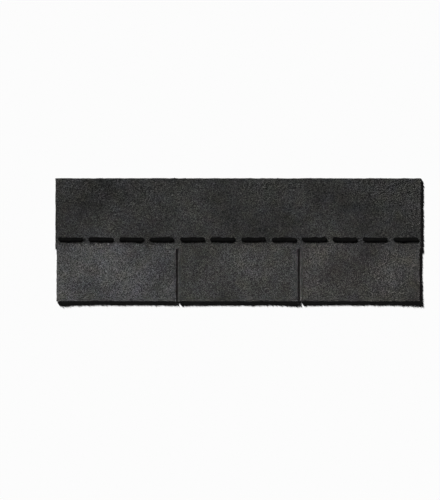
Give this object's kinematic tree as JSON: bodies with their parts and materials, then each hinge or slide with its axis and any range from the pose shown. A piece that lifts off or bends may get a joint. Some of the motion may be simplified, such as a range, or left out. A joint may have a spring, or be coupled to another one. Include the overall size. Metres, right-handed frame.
{
  "type": "three-tab asphalt shingle",
  "caption": "Flat asphalt roofing shingle strip cut into tabs along its lower edge, with a granule face, a dashed self-seal line and a release tape on its back.",
  "frame": {"origin": "middle of the back face, which lies on the roof deck or the floor", "axes": "+X along the strip, +Y from the butt edge of the tabs to the top edge of the head lap, +Z out of the granule face"},
  "size_m": [1, 0.337, 0.0038],
  "materials": {
    "granule_sheet": "matte charcoal mineral granules bedded in asphalt",
    "seal_asphalt": "dull black modified asphalt",
    "release_film": "smooth pale polyester film"
  },
  "bodies": {
    "root": {"shingle_sheet": "granule_sheet", "seal_strip": "seal_asphalt", "release_tape": "release_film"}
  },
  "joints": []
}
